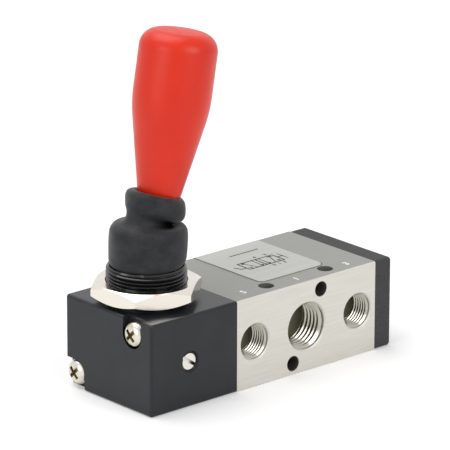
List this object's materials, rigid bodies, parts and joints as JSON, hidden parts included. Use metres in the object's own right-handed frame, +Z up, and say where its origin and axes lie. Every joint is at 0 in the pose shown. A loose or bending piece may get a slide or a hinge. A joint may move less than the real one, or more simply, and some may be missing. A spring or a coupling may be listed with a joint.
{
  "type": "hand lever air valve",
  "caption": "Hand lever spool valve for compressed air: ported metal block, panel-mount lever neck with a hex nut, rubber boot and tapered grip, and a plain end cap.",
  "frame": {"origin": "centre of the valve body's bottom face", "axes": "+X along the valve from the lever housing to the end cap, +Y to the outlet side (supply and exhausts open to -Y), +Z up to the lever"},
  "size_m": [0.0877, 0.035, 0.0982],
  "materials": {
    "body_alloy": "brushed, clear anodised",
    "housing_black": "gloss black",
    "cap_black": "fine moulded matt",
    "nut_nickel": "bright nickel plate",
    "screw_zinc": "yellow zinc plate",
    "plain_steel": "turned and ground",
    "spool_alloy": "hard anodised",
    "bush_brass": "turned",
    "boot_rubber": "satin moulded rubber",
    "seal_rubber": "oiled nitrile",
    "grip_red": "satin gloss moulding",
    "label_grey": "printed foil, satin"
  },
  "bodies": {
    "valve": {"valve_body": "body_alloy", "end_cap": "cap_black", "lever_housing": "housing_black", "housing_screws": "screw_zinc", "cap_screws": "screw_zinc", "lever_end_bush": "bush_brass", "cap_end_bush": "bush_brass", "stem_seals": "seal_rubber", "face_seals": "seal_rubber", "detent_screw": "plain_steel", "detent_spring": "plain_steel", "pivot_pin": "plain_steel", "boot": "boot_rubber", "panel_nut": "nut_nickel", "label_plate": "label_grey"},
    "lever": {"lever_rod": "plain_steel", "handle_grip": "grip_red", "grip_insert": "bush_brass"},
    "spool_carriage": {"slide_block": "plain_steel", "spool": "spool_alloy", "spool_seals": "seal_rubber"},
    "detent": {"detent_ball": "plain_steel"}
  },
  "joints": [
    {"name": "lever_rock", "type": "hinge", "parent": "valve", "child": "lever", "pos_m": [-0.0418, 0, 0.0286], "axis": [0, 1, 0], "range_deg": [-20, 0], "deforming": ["boot"]},
    {"name": "spool_shift", "type": "slide", "parent": "valve", "child": "spool_carriage", "axis": [1, 0, 0], "range_m": [0, 0.00556]},
    {"name": "detent_push", "type": "slide", "parent": "valve", "child": "detent", "axis": [0, 1, 0], "range_m": [0, 0.0005], "stiffness_N_per_m": 100, "springref_m": 0.004, "deforming": ["detent_spring"]}
  ],
  "couplings": [
    {"joint": "spool_shift", "follows": "lever_rock", "m_per_rad": -0.0158}
  ]
}
